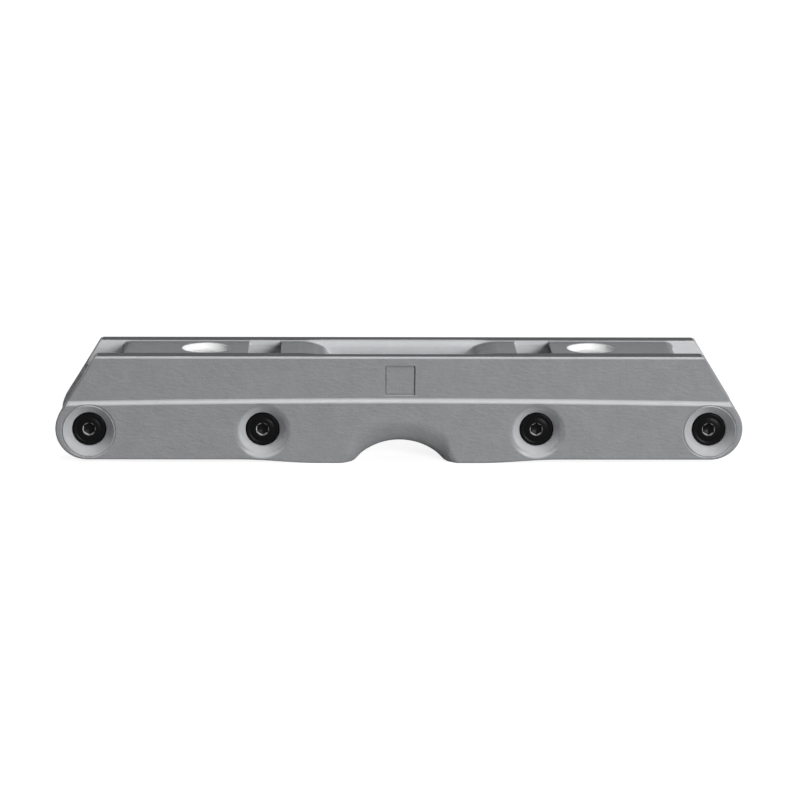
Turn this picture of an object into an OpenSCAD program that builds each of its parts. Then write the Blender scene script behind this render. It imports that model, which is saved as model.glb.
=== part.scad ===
// Inline skate frame for aggressive skating: a moulded chassis with four two-piece axles.
// Millimetres. X runs along the skate, front at +X. Y is across, Z is up.
// The origin is under the middle of the frame, at its lowest point.

/* [Wheelbase] */
// Distance from the middle to the two outer axles
outer_axle_x = 133.5; // [130:0.5:138]
// Distance from the middle to the two inner axles
inner_axle_x = 59; // [57:0.5:61]
// Height of the axles above the belly
axle_z = 14.2; // [13.8:0.1:14.4]
// Radius of the clear space round each axle, 1 mm more than the largest wheel
bay_r = 31; // [29.5:0.1:31.2]

/* [Chassis outside] */
// Height of the rim
top_z = 46.9; // [46.6:0.1:48]
// Half the length of the straight rim, before its corner is rounded
top_half_l = 130.3; // [128:0.1:132]
// Half the width at the rim
rim_half_w = 21.5; // [20.8:0.1:22.5]
// Half the width of the upper panel, just above the ledge
waist_half_w = 20.7; // [20.3:0.1:21]
// Half the width of the lower panel, just below the ledge
ledge_half_w = 22.2; // [21.9:0.1:23]
// Half the width at the belly
belly_half_w = 21.8; // [21.4:0.1:22.4]
// Height of the ledge's sloping step at its outer edge
ledge_z = 25.8; // [25.4:0.1:28]
// Rounding along the rim's outer edge
rim_round = 1.1; // [0.5:0.1:1.6]
// Radius of the rounded ends
end_r = 13.4; // [12.8:0.1:13.8]
// How far past the outer axle the centre of the rounded end lies
end_overhang = 0.8; // [0:0.1:1.5]
// Height of the flat underside between the belly and the ends
keel_z = 1.6; // [1:0.1:2]
// Distance from the middle at which the belly starts to rise
belly_flat_x = 34; // [32:0.5:40]
// Distance from the middle at which the underside is flat
keel_flat_x = 70; // [60:1:90]
// Rounding of the rim's end corners in side view
corner_r = 1.2; // [0.8:0.1:4]

/* [Grind arch] */
// Radius of the arch at its narrowest, mid-way across
arch_r = 26; // [24:0.1:27]
// Height of the arch's crown
arch_crown_z = 8.8; // [7.5:0.1:9.2]
// Radius of the convex flare from the arch to each side
flare_r = 11; // [6:0.1:12]
// Rounding where the arch meets the belly
shoulder_r = 5; // [3:0.1:6]
// Thickness of the saddle over the arch
saddle_t = 4.7; // [3.5:0.1:6]

/* [Walls and deck] */
// Half the clear width between the rails, and of the slots and openings in the deck
rail_half_gap = 13.4; // [13:0.1:14]
// Half the clear width between the walls, round the wheels
bay_half_gap = 15.5; // [15.3:0.1:16]
// Height at which the walls thicken into the rails
rail_z = 36; // [34:0.5:38]
// How far the deck lies below the rim
deck_drop = 0.4; // [0.2:0.1:0.5]
// Thickness of the deck
deck_t = 5.6; // [5.4:0.1:6]
// Distance from the middle to each end of the deck
deck_end_x = 120; // [114:0.1:121]
// Radius of the deck's rolled edge at each end
deck_end_roll_r = 3.8; // [2:0.1:4]
// Thickness of the cross webs between the wheels
web_t = 4; // [3:0.1:5]
// Distance behind the middle at which the rear wheel slot starts
rear_slot_from = 51.2; // [46:0.1:54]
// Distance behind the middle at which the rear wheel slot ends
rear_slot_to = 65.2; // [63:0.1:69]
// Distance before the middle at which the front wheel slot starts
front_slot_from = 50.7; // [46:0.1:54]
// Distance before the middle at which the front wheel slot ends
front_slot_to = 66; // [63:0.1:69]
// Half the length of the central pocket at the deck
pocket_half_l = 41.1; // [39.5:0.1:42]
// Radius of the rolled edge at each end of the pocket
pocket_roll_r = 14; // [12.5:0.1:14.5]
// Height of the pocket's flat floor beside the saddle
pocket_floor_z = 10.5; // [10:0.1:12]
// How far each pocket end leans in from the roll to the floor
pocket_lean = 2; // [1:0.1:2.5]
// Thickness of the upright ribs over the axles
rib_t = 5; // [3:0.1:8]
// Width of the plain sunken square on each side
square_w = 13; // [8:0.1:14]
// Depth of the sunken square
square_d = 0.5; // [0.3:0.1:0.8]
// Height of the middle of the sunken square
square_z = 36.4; // [36:0.1:37.5]

/* [Boot mounts] */
// Distance between the two boot bolts
mount_spacing = 167; // [165:0.5:168]
// Radius of the round seat for each boss under the boot
seat_r = 10.5; // [9.8:0.1:10.8]
// Depth of the seat below the deck's top
seat_depth = 3.1; // [2.8:0.1:3.3]
// Rounding between the seat's wall and its floor
seat_round = 1.6; // [0.6:0.1:2]
// Radius of the hole through the seat's floor, which holds the nut's barrel
nut_hole_r = 6.8; // [6.4:0.1:7]
// Thickness of the deck between the seat and the nut's flange
nut_web_t = 1.8; // [1.5:0.1:2]
// How far the nut's barrel stays below the seat's floor
nut_sunk = 0.3; // [0.1:0.1:0.8]
// Radius of the nut's thread, at its tips
nut_thread_r = 3.4; // [3:0.1:3.5]
// Width of the nut's flange along the frame
nut_flange_w = 13.2; // [12.4:0.1:13.2]
// Length of the nut's flange across the frame
nut_flange_l = 21; // [18:0.1:22]
// Thickness of the nut's flange
nut_flange_t = 1.4; // [1.2:0.1:1.4]
// Radius of the nut's collar under the flange
nut_collar_r = 5; // [4.2:0.1:5]
// Height of that collar
nut_collar_h = 1.4; // [1:0.1:1.4]

/* [Axles] */
// Distance between the faces that a wheel runs between
wheel_seat_w = 24.3; // [24:0.1:24.6]
// Radius of the axle that carries the bearings
axle_r = 4; // [3.9:0.01:4]
// Radius of the shoulder under the sleeve's head
sleeve_shoulder_r = 5; // [4.8:0.01:5]
// Radius of the sleeve's tip in the left bush, and of the relief beside its shoulder
relief_r = 3.8; // [3.6:0.05:3.84]
// How far the relief and the tip reach in between the wheel's faces
relief_w = 0.3; // [0.1:0.05:0.5]
// How far the sleeve's tip reaches into the left bush
sleeve_reach = 1; // [0.5:0.1:1.6]
// Radius of the bolt's plain neck, between its head and its thread
bolt_neck_r = 3.5; // [3.2:0.05:3.7]
// Radius of the bolt's thread
thread_r = 2.95; // [2.4:0.01:3]
// Length of the thread
thread_l = 12; // [9:0.5:15]
// Radius of each head
head_r = 7.2; // [6.8:0.1:7.2]
// Thickness of each head
head_t = 2.6; // [2.2:0.1:2.8]
// Chamfer round the face of each head
head_chamfer = 0.5; // [0.2:0.1:0.8]
// Width across the flats of the hex socket
hex_w = 5; // [4:0.5:6]
// Depth of the hex socket
hex_d = 1.9; // [1.5:0.1:2]
// Half the distance between the seats of the two heads
head_seat_y = 15.2; // [15:0.1:15.4]
// Radius of the recess where it meets the side
recess_r = 11.1; // [10:0.1:11.3]
// Depth of the recess's straight wall
recess_straight = 2.2; // [1.6:0.1:2.6]

/* [Bushes] */
// Radius of the pressed part of each bush
bush_r = 6.4; // [6.2:0.1:6.6]
// Radius of the bush's flange
bush_flange_r = 7.6; // [7.2:0.1:8.4]
// Thickness of that flange
bush_flange_t = 0.7; // [0.5:0.1:0.9]
// Radius of the raised nose that meets the bearing
bush_nose_r = 5.9; // [5.7:0.05:6]
// Height of the nose
bush_nose_h = 0.4; // [0.3:0.05:0.6]
// Width of the chassis boss beyond the bush's flange
boss_wall = 2; // [1:0.1:3]

/* [Clearances] */
// Running clearance in radius between an axle and what it turns in
run_gap = 0.05; // [0.02:0.01:0.09]
// Clearance in radius round each head
head_gap = 0.15; // [0.1:0.05:0.3]
// Clearance in radius round the mount nut
nut_gap = 0.1; // [0.05:0.05:0.3]
// Gap between the end of the sleeve and the bolt's neck
end_gap = 0.25; // [0.1:0.05:0.5]

/* [Hidden] */
$fn = 96;
// Overshoot of every cutter past the face it cuts
over = 1;

// Axles from the front to the rear
axle_x = [outer_axle_x, inner_axle_x, -inner_axle_x, -outer_axle_x];
mount_x = mount_spacing / 2;

deck_z = top_z - deck_drop;
deck_under_z = deck_z - deck_t;
arch_z = arch_crown_z - arch_r;
saddle_r = arch_r + saddle_t;
end_x = outer_axle_x + end_overhang;
end_z = keel_z + end_r;
// Half the width at the widest place of the outside
wide_half_w = max(rim_half_w, waist_half_w, ledge_half_w, belly_half_w);

// The boot's boss sits in the seat, and the pocket under the deck holds the nut's flange
seat_z = deck_z - seat_depth;
nut_roof_z = seat_z - nut_web_t;
nut_flange_z = nut_roof_z - nut_flange_t;
nut_barrel_r = nut_hole_r - nut_gap;
nut_barrel_top = seat_z - nut_sunk;

// Faces of the bushes, from the wheel outwards
nose_y = wheel_seat_w / 2;
flange_y = nose_y + bush_nose_h;
boss_y = flange_y + bush_flange_t;
boss_r = bush_flange_r + boss_wall;
sleeve_end_y = -(nose_y + sleeve_reach);
bolt_neck_y = sleeve_end_y - end_gap;

// Side outline
slope = corner_slope([top_half_l, top_z], [end_x, end_z], end_r);

// Points of an arc, from angle a0 to a1
function arc(c, r, a0, a1, n = 16) =
    [for (i = [0:n]) let (a = a0 + (a1 - a0) * i / n) [c[0] + r * cos(a), c[1] + r * sin(a)]];

// Angle of the normal of the line from point p that touches the circle on its outer side
function corner_slope(p, c, r) =
    let (d = p - c, far = norm(d), to_p = atan2(d[1], d[0])) to_p - acos(r / far);

// Side outline of the right half, from the crown of the arch round to the middle of the rim
function half_outline() =
    let (shoulder_x = sqrt(pow(arch_r + shoulder_r, 2) - pow(shoulder_r - arch_z, 2)),
        touch = atan2(shoulder_r - arch_z, shoulder_x),
        rise = keel_flat_x - belly_flat_x,
        round_c = [top_half_l - corner_r * tan((90 - slope) / 2), top_z - corner_r])
    concat(
        arc([0, arch_z], arch_r, 90, touch, 12),
        arc([shoulder_x, shoulder_r], shoulder_r, 180 + touch, 270, 6),
        [for (i = [0:8]) let (t = i / 8)
            [belly_flat_x + rise * t, keel_z * (1 - cos(180 * t)) / 2]],
        arc([end_x, end_z], end_r, -90, slope, 20),
        arc(round_c, corner_r, slope, 90, 6));

function mirrored(points) = [for (i = [len(points) - 1:-1:1]) [-points[i][0], points[i][1]]];

// Stands a flat shape in X and Z up as a slab of the given half thickness
module slab(half_w) {
    translate([0, half_w, 0]) rotate([90, 0, 0]) linear_extrude(2 * half_w) children();
}

// Turns a profile of radius and height about the Y axis direction, at an axle
module on_y(x, z) {
    translate([x, 0, z]) rotate([-90, 0, 0]) children();
}

// Both sides of the frame
module both_sides() {
    for (side = [1, -1]) scale([1, side, 1]) children();
}

// Cross-section of the outside, with its ledge and draft
module section() {
    step = abs(ledge_half_w - waist_half_w);
    side = concat(
        [[belly_half_w, -over], [ledge_half_w, ledge_z], [waist_half_w, ledge_z + step]],
        arc([rim_half_w - rim_round, top_z - rim_round], rim_round, 0, 90, 8));
    polygon(concat(side, mirrored(concat([[0, 0]], side))));
}

module outer_shape() {
    intersection() {
        slab(wide_half_w + over) polygon(concat(half_outline(), mirrored(half_outline())));
        rotate([90, 0, 90]) linear_extrude(2 * (end_x + end_r + over), center = true) section();
    }
}

// The arch widens to each side in a convex quarter round
module arch_flare() {
    reach = wide_half_w + 2 * over;
    on_y(0, arch_z) rotate_extrude() difference() {
        translate([0, -reach]) square([arch_r + flare_r, 2 * reach]);
        translate([arch_r, flare_r - ledge_half_w])
            square([flare_r + over, 2 * (ledge_half_w - flare_r)]);
        for (side = [1, -1]) translate([arch_r + flare_r, side * (ledge_half_w - flare_r)])
            circle(flare_r);
    }
}

// Side view of the space under the deck on one side of the middle, with the wheels' bays
module bay_side_view() {
    long = end_x + end_r + over;
    roll_x = deck_end_x - deck_end_roll_r;
    roll_z = deck_z - deck_end_roll_r;
    translate([inner_axle_x, axle_z]) circle(bay_r);
    translate([outer_axle_x, axle_z]) circle(bay_r);
    translate([inner_axle_x, -over]) square([long - inner_axle_x, deck_under_z + over]);
    translate([inner_axle_x - bay_r, -over]) square([bay_r, axle_z + over]);
    difference() {
        translate([roll_x, -over]) square([long - roll_x, top_z + 2 * over]);
        translate([roll_x, -2 * over]) square([deck_end_roll_r, roll_z + 2 * over]);
        translate([roll_x, roll_z]) circle(deck_end_roll_r);
    }
}

module bays() {
    web_x = (outer_axle_x + inner_axle_x) / 2;
    for (side = [1, -1]) scale([side, 1, 1]) difference() {
        union() {
            slab(rail_half_gap) bay_side_view();
            intersection() {
                slab(bay_half_gap) bay_side_view();
                translate([0, -bay_half_gap, -over])
                    cube([2 * outer_axle_x, 2 * bay_half_gap, rail_z + over]);
            }
        }
        difference() {
            translate([web_x - web_t / 2, -bay_half_gap, -2 * over])
                cube([web_t, 2 * bay_half_gap, top_z]);
            for (x = [inner_axle_x, outer_axle_x]) on_y(x, axle_z)
                cylinder(r = bay_r, h = 3 * bay_half_gap, center = true);
        }
    }
}

// The pocket in the middle of the deck, down to the saddle over the arch
module pocket() {
    roll_z = deck_z - pocket_roll_r;
    wall_x = pocket_half_l - pocket_roll_r;
    half = concat([[wall_x - pocket_lean, pocket_floor_z]],
        arc([pocket_half_l, roll_z], pocket_roll_r, 180, 90, 10),
        [[pocket_half_l, top_z + over]]);
    slab(rail_half_gap) difference() {
        polygon(concat(half, mirrored(concat([[0, 0]], half))));
        translate([0, arch_z]) circle(saddle_r);
    }
}

module slots() {
    for (slot = [[-rear_slot_to, -rear_slot_from], [front_slot_from, front_slot_to]])
        translate([slot[0], -rail_half_gap, axle_z])
            cube([slot[1] - slot[0], 2 * rail_half_gap, top_z]);
}

// The deck lies a little below the rim
module deck_step() {
    translate([-deck_end_x - over, -rail_half_gap, deck_z])
        cube([2 * (deck_end_x + over), 2 * rail_half_gap, top_z]);
}

module axle_bosses() {
    for (x = axle_x) both_sides() {
        on_y(x, axle_z) translate([0, 0, boss_y])
            cylinder(r = boss_r, h = head_seat_y + over - boss_y);
        translate([x - rib_t / 2, rail_half_gap, axle_z])
            cube([rib_t, bay_half_gap - rail_half_gap + over, rail_z + over - axle_z]);
    }
}

module axle_holes() {
    cone_y = head_seat_y + recess_straight;
    for (x = axle_x) both_sides() on_y(x, axle_z) {
        cylinder(r = bush_r, h = head_seat_y + over);
        translate([0, 0, head_seat_y]) cylinder(r = head_r + head_gap, h = 3 * over + head_t);
        translate([0, 0, cone_y]) cylinder(r1 = head_r + head_gap, r2 = recess_r,
            h = ledge_half_w - cone_y);
        translate([0, 0, ledge_half_w]) cylinder(r = recess_r, h = wide_half_w + over - ledge_half_w);
    }
}

// Space for the boss under the boot, from the seat's floor upwards
module boss_space() {
    rotate_extrude() {
        translate([0, seat_round]) square([seat_r, top_z]);
        square([seat_r - seat_round, top_z]);
        translate([seat_r - seat_round, seat_round]) circle(seat_round);
    }
}

module mount_holes() {
    for (side = [1, -1]) translate([side * mount_x, 0, 0]) {
        translate([0, 0, seat_z]) boss_space();
        translate([0, 0, axle_z]) cylinder(r = nut_hole_r, h = top_z);
        translate([0, 0, deck_under_z - over]) linear_extrude(nut_roof_z - deck_under_z + over)
            nut_outline(nut_gap);
    }
}

module sunken_squares() {
    panel_y = waist_half_w + (rim_half_w - waist_half_w) * (square_z - ledge_z) / (top_z - ledge_z);
    both_sides() translate([-square_w / 2, panel_y - square_d, square_z - square_w / 2])
        cube([square_w, square_d + over, square_w]);
}

module frame_body() {
    color("#8f9092") difference() {
        union() {
            difference() {
                outer_shape();
                bays();
                pocket();
                slots();
                deck_step();
            }
            axle_bosses();
        }
        arch_flare();
        axle_holes();
        mount_holes();
        sunken_squares();
    }
}

module nut_outline(grow) {
    intersection() {
        circle(nut_flange_l / 2 + grow);
        square([nut_flange_w + 2 * grow, nut_flange_l + 2 * grow], center = true);
    }
}

// Oval nut for the boot bolt, with a barrel that locates it in the deck
module mount_nut(x) {
    color("#a9abad") translate([x, 0, 0]) difference() {
        union() {
            translate([0, 0, nut_flange_z]) linear_extrude(nut_flange_t) nut_outline(0);
            translate([0, 0, nut_flange_z])
                cylinder(r = nut_barrel_r, h = nut_barrel_top - nut_flange_z);
            translate([0, 0, nut_flange_z - nut_collar_h])
                cylinder(r = nut_collar_r, h = nut_collar_h + over);
        }
        translate([0, 0, nut_flange_z - nut_collar_h - over])
            cylinder(r = nut_thread_r, h = top_z);
    }
}

// Low head with a hex socket, its seat at the origin and its face up
module head() {
    face_r = head_r - head_chamfer;
    difference() {
        union() {
            cylinder(r = head_r, h = head_t - head_chamfer);
            translate([0, 0, head_t - head_chamfer])
                cylinder(r1 = head_r, r2 = face_r, h = head_chamfer);
        }
        translate([0, 0, head_t - hex_d]) cylinder(r = hex_w / sqrt(3), h = hex_d + over, $fn = 6);
    }
}

// Male half of an axle. Its head is on the left, at -Y.
module axle_bolt(x) {
    color("#202022") translate([x, 0, axle_z]) rotate([90, 0, 0]) {
        translate([0, 0, head_seat_y]) head();
        translate([0, 0, -bolt_neck_y]) cylinder(r = bolt_neck_r, h = head_seat_y + bolt_neck_y);
        translate([0, 0, -bolt_neck_y - thread_l]) cylinder(r = thread_r, h = thread_l);
    }
}

// Female half of an axle. Its head is on the right, at +Y, and its barrel carries the wheel.
module axle_sleeve(x) {
    hole_l = thread_l + 2 * end_gap;
    color("#202022") on_y(x, axle_z) {
        translate([0, 0, head_seat_y]) head();
        difference() {
            union() {
                translate([0, 0, nose_y]) cylinder(r = sleeve_shoulder_r, h = head_seat_y - nose_y);
                translate([0, 0, relief_w - nose_y]) cylinder(r = axle_r, h = 2 * (nose_y - relief_w));
                translate([0, 0, sleeve_end_y]) cylinder(r = relief_r, h = nose_y - sleeve_end_y);
            }
            translate([0, 0, sleeve_end_y - over]) cylinder(r = thread_r + run_gap, h = hole_l + over);
        }
    }
}

// Flanged bush pressed into the wall, its nose towards the wheel
module bush(x, bore_r) {
    on_y(x, axle_z) difference() {
        union() {
            translate([0, 0, nose_y]) cylinder(r = bush_nose_r, h = bush_nose_h);
            translate([0, 0, flange_y]) cylinder(r = bush_flange_r, h = bush_flange_t);
            translate([0, 0, boss_y]) cylinder(r = bush_r, h = head_seat_y - boss_y);
        }
        cylinder(r = bore_r, h = head_seat_y + over);
    }
}

module left_bush(x) {
    color("#b4b6b8") mirror([0, 1, 0]) bush(x, axle_r + run_gap);
}

module right_bush(x) {
    color("#b4b6b8") bush(x, sleeve_shoulder_r + run_gap);
}

frame_body();
mount_nut(mount_x);  // front_mount_nut
mount_nut(-mount_x);  // rear_mount_nut
axle_bolt(axle_x[0]);  // axle_1_bolt
axle_bolt(axle_x[1]);  // axle_2_bolt
axle_bolt(axle_x[2]);  // axle_3_bolt
axle_bolt(axle_x[3]);  // axle_4_bolt
axle_sleeve(axle_x[0]);  // axle_1_sleeve
axle_sleeve(axle_x[1]);  // axle_2_sleeve
axle_sleeve(axle_x[2]);  // axle_3_sleeve
axle_sleeve(axle_x[3]);  // axle_4_sleeve
left_bush(axle_x[0]);  // axle_1_left_bush
left_bush(axle_x[1]);  // axle_2_left_bush
left_bush(axle_x[2]);  // axle_3_left_bush
left_bush(axle_x[3]);  // axle_4_left_bush
right_bush(axle_x[0]);  // axle_1_right_bush
right_bush(axle_x[1]);  // axle_2_right_bush
right_bush(axle_x[2]);  // axle_3_right_bush
right_bush(axle_x[3]);  // axle_4_right_bush
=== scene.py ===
# %% [markdown]
# An inline skate frame, dressed for its portrait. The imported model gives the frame: every piece
# of the real thing at its real size. This script builds the surfaces that the eye sees round it.
# Lengths are written in millimetres, the maker's own unit, and only become metres when a mesh is
# made.

# %% Load the frame
import bpy
import numpy as np
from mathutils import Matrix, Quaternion, Vector


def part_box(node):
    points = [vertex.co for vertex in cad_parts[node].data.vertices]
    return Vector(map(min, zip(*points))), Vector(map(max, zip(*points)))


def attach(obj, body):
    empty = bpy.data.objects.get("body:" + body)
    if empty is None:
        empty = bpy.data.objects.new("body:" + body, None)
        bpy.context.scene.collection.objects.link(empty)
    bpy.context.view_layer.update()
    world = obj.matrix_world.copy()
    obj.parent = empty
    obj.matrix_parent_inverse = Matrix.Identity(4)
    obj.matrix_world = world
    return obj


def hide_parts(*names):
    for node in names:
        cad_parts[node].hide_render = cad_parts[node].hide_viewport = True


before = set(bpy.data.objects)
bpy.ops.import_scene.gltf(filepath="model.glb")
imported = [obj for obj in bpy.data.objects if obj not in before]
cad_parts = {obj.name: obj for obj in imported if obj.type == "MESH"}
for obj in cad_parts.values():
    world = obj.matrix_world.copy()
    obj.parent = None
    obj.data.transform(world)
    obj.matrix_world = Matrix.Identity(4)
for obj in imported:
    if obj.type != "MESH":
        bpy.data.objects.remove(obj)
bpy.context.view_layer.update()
MM = 0.001

body_low, body_high = [np.array(corner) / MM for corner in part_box("frame_body")]
half_length = body_high[0]
half_width = body_high[1]
top_z = body_high[2]
print("chassis is", np.round(body_high - body_low, 1), "mm")

# %% [markdown]
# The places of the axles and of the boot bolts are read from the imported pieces, so they are
# written down in one place only, and what is built here follows the model if it changes.


# %% Where the axles and the mounts are
def middle(node):
    """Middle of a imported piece's box, in millimetres."""
    low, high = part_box(node)
    return (np.array(low) + np.array(high)) / 2 / MM


axle_x = [middle(f"axle_{i}_bolt")[0] for i in (1, 2, 3, 4)]
axle_z = middle("axle_1_bolt")[2]
outer_axle_x, inner_axle_x = axle_x[0], axle_x[1]
mount_x = middle("front_mount_nut")[0]
print("axles at", np.round(axle_x, 1), "and", round(axle_z, 1), "high")
print("boot bolts at", round(mount_x, 1))

# %% [markdown]
# The chassis is one nylon moulding, and a moulding has no sharp edge anywhere: every corner is
# rounded by the tool that cut the mould. Boxes and booleans would need each of those roundings by
# hand. Here the shape is a formula instead: a signed distance, negative inside the plastic and
# positive outside. Two distances join in one line, with the rounding as a number, and the surface
# is wherever the formula gives zero.


# %% Two ways that distances meet
def edge(a, b, r):
    """What is inside both a and b. Their shared outside edge is a circle of radius r."""
    return np.minimum(np.maximum(a, b), -r) + np.hypot(np.maximum(a + r, 0), np.maximum(b + r, 0))


def fillet(a, b, r):
    """What is inside a or b. The inside corner between them is filled to radius r."""
    return np.maximum(np.minimum(a, b), r) - np.hypot(np.maximum(r - a, 0), np.maximum(r - b, 0))


def ramp(v, low, high):
    """Goes smoothly from 0 at low to 1 at high."""
    t = np.clip((v - low) / (high - low), 0, 1)
    return t * t * (3 - 2 * t)


def corner(u, v, centre, r, from_deg, to_deg, faces):
    """Faces that meet in a true arc: between their normals' directions, distance is to the arc."""
    du, dv = u - centre[0], v - centre[1]
    a, b = np.radians(from_deg), np.radians(to_deg)
    past_first = -du * np.sin(a) + dv * np.cos(a) > 0
    before_last = du * np.sin(b) - dv * np.cos(b) > 0
    return np.where(past_first & before_last, np.hypot(du, dv) - r, faces)


# %% [markdown]
# Seen from the side the frame has a long flat top, slanted ends that run into round noses, a keel
# that swells into a belly, and the grind arch. Those are straight lines and arcs, so the outline
# is worked out once for each place along and up the frame, and doesn't depend on how far across
# it is.

# %% Outline from the side
top_half_l = 130.3
end_corner_r = 1.0
nose_r = 13.4
nose_over = half_length - nose_r - outer_axle_x
keel_z = 1.6
belly_from, belly_to = 34, 70
arch_r, arch_crown_z = 26, 8.8
arch_z = arch_crown_z - arch_r
shoulder_r = 5
shoulder_x = np.sqrt((arch_r + shoulder_r) ** 2 - (shoulder_r - arch_z) ** 2)
shoulder_deg = np.degrees(np.arctan2(shoulder_r - arch_z, shoulder_x))

nose = np.array([outer_axle_x + nose_over, keel_z + nose_r])
to_top = np.array([top_half_l, top_z]) - nose
slope_deg = np.degrees(np.arctan2(to_top[1], to_top[0]) - np.arccos(nose_r / np.hypot(*to_top)))


def keel(ax):
    """Height of the underside: flat belly, half a cosine wave up, flat keel."""
    t = np.clip((ax - belly_from) / (belly_to - belly_from), 0, 1)
    return keel_z * (1 - np.cos(np.pi * t)) / 2


def outline(ax, z):
    """Distance to the side outline, and to the arch alone."""
    s = np.radians(slope_deg)
    slant = (ax - top_half_l) * np.cos(s) + (z - top_z) * np.sin(s)
    ends = corner(ax, z, nose, nose_r, -90, slope_deg, np.maximum(slant, keel(ax) - z))
    ends = edge(ends, z - top_z, end_corner_r)
    arch = arch_r - np.hypot(ax, z - arch_z)
    under = np.maximum(ends, arch)
    return corner(ax, z, (shoulder_x, shoulder_r), shoulder_r, 180 + shoulder_deg, 270, under), arch


print("ends slant", round(slope_deg, 1), "degrees from upright")

# %% [markdown]
# Across the frame the wall leans in a little, so that the moulding leaves its tool, and steps out
# over a ledge that runs the whole length in a very flat arc. The ledge is what catches the light
# in the photo.

# %% Sides
rim_half_w, waist_half_w, belly_half_w = 21.5, 20.8, 21.8
ledge_z, ledge_rise = 25.4, 1.5
rim_round, rim_chamfer = 0.4, 0.8
step_edge_r, step_fillet_r = 0.3, 0.4


def sides(x, y, z):
    """Distance to the two sides: an upper panel, and a lower one that steps out at 45 degrees."""
    ay = np.abs(y)
    ledge = ledge_z + ledge_rise * (1 - (x / half_length) ** 2)
    lower = ay - belly_half_w - (half_width - belly_half_w) * z / ledge_z
    step = (ay - half_width + z - ledge) / np.sqrt(2)
    upper = ay - waist_half_w - (rim_half_w - waist_half_w) * (z - ledge) / (top_z - ledge_z)
    return fillet(upper, edge(lower, step, step_edge_r), step_fillet_r)


# %% [markdown]
# The wheels run in bays under the deck. A bay is a round space about each axle, joined up into
# one trough between the walls, with a cross web left standing between one wheel and the next.

# %% Wheel bays
bay_r = 31
deck_drop, underside_drop = 0.4, 6.0
deck_z, deck_under_z = top_z - deck_drop, top_z - underside_drop
deck_end_x, deck_end_roll_r = 120, 3.8
rail_half_gap, bay_half_gap, rail_z = 13.4, 15.5, 36
web_x, web_t = (outer_axle_x + inner_axle_x) / 2, 4
deck_foot_r, web_foot_r, bay_roof_r, bay_wall_r = 1, 1.5, 1, 1.2


def bays(ax, y, z):
    """Distance to the empty space that the wheels and the open ends take."""
    around_inner = np.hypot(ax - inner_axle_x, z - axle_z) - bay_r
    around_outer = np.hypot(ax - outer_axle_x, z - axle_z) - bay_r
    under_deck = edge(z - deck_under_z, inner_axle_x - ax, deck_foot_r)
    below_axle = np.maximum(inner_axle_x - bay_r - ax, z - axle_z)
    trough = np.minimum(under_deck, below_axle)
    trough = edge(trough, web_t / 2 - np.abs(ax - web_x), web_foot_r)
    space = np.minimum(np.minimum(around_inner, around_outer), trough)
    space = np.minimum(space, -edge(ax - deck_end_x, z - deck_z, deck_end_roll_r))
    ay = np.abs(y)
    gap = np.minimum(ay - rail_half_gap, edge(ay - bay_half_gap, z - rail_z, bay_roof_r))
    return edge(space, gap, bay_wall_r)


# %% [markdown]
# The deck is open in the middle, where its two ends roll over and drop to the saddle above the
# grind arch, and it has a slot over each inner wheel. The two slots aren't alike: the front one
# is longer.

# %% Deck openings
pocket_half_l, roll_r = 41.1, 14
pocket_floor_z, pocket_lean, saddle_t = 10.5, 2, 4.7
saddle_r = arch_r + saddle_t
saddle_edge_r, pocket_corner_r, pocket_side_r = 2, 3, 0.6
slots, slot_bottom_z, slot_side_r = [(-65.2, -51.2), (50.7, 66)], axle_z + 12, 0.8


def pocket(ax, z):
    """Distance to the empty space between the rolled ends of the deck, and above the whole deck."""
    roll_x, roll_z = pocket_half_l, deck_z - roll_r
    lean = pocket_lean * np.clip((roll_z - z) / (roll_z - pocket_floor_z), 0, 1)
    wall = roll_x - roll_r - lean - ax
    deck_end = corner(ax, z, (roll_x, roll_z), roll_r, 90, 180, np.maximum(z - deck_z, wall))
    floor = edge(pocket_floor_z - z, saddle_r - np.hypot(ax, z - arch_z), saddle_edge_r)
    return edge(-deck_end, floor, pocket_corner_r)


def deck_openings(x, y, z):
    """Distance to the pocket and the two slots of the deck, all between the rails."""
    ax, ay = np.abs(x), np.abs(y)
    gap = ay - rail_half_gap
    space = edge(pocket(ax, z), gap, pocket_side_r)
    for start, end in slots:
        across = np.maximum(start - x, x - end)
        space = np.minimum(space, edge(np.maximum(across, slot_bottom_z - z), gap, slot_side_r))
    return space


# %% [markdown]
# Each axle head sits in a conical recess. The outer two have a crisp rim with a fine ring cut
# round it, and the inner two melt softly into the side. Inside the wall there is a boss for the
# bush, and a rib that carries the load up to the deck.

# %% Axle recesses and bosses
head_hole_r, head_seat_y, cone_y = 7.35, 15.2, 17.3
recess_r = 11.1
ring_r, ring_d = 11.4, 0.55
bush_r, boss_r, boss_y = 6.4, 9.6, 13.25
rib_t, rib_over_rail = 5, 2
boss_edge_r, rib_edge_r, rib_foot_r = 0.5, 0.6, 1.5


def recess(ax, ay, z, at_x, soft):
    """Distance to the empty space round one axle, outwards from the bush."""
    rho = np.hypot(ax - at_x, z - axle_z)
    reach = recess_r - head_hole_r
    depth = half_width - cone_y
    lean = np.hypot(reach, depth)
    cone = ((rho - head_hole_r) * depth - (ay - cone_y) * reach) / lean
    space = np.maximum(np.minimum(cone, rho - head_hole_r), head_seat_y - ay)
    if not soft:
        ring = (np.abs(rho - ring_r) - ay + half_width - ring_d) / np.sqrt(2)
        space = np.minimum(space, ring)
    return np.minimum(space, rho - bush_r)


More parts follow.
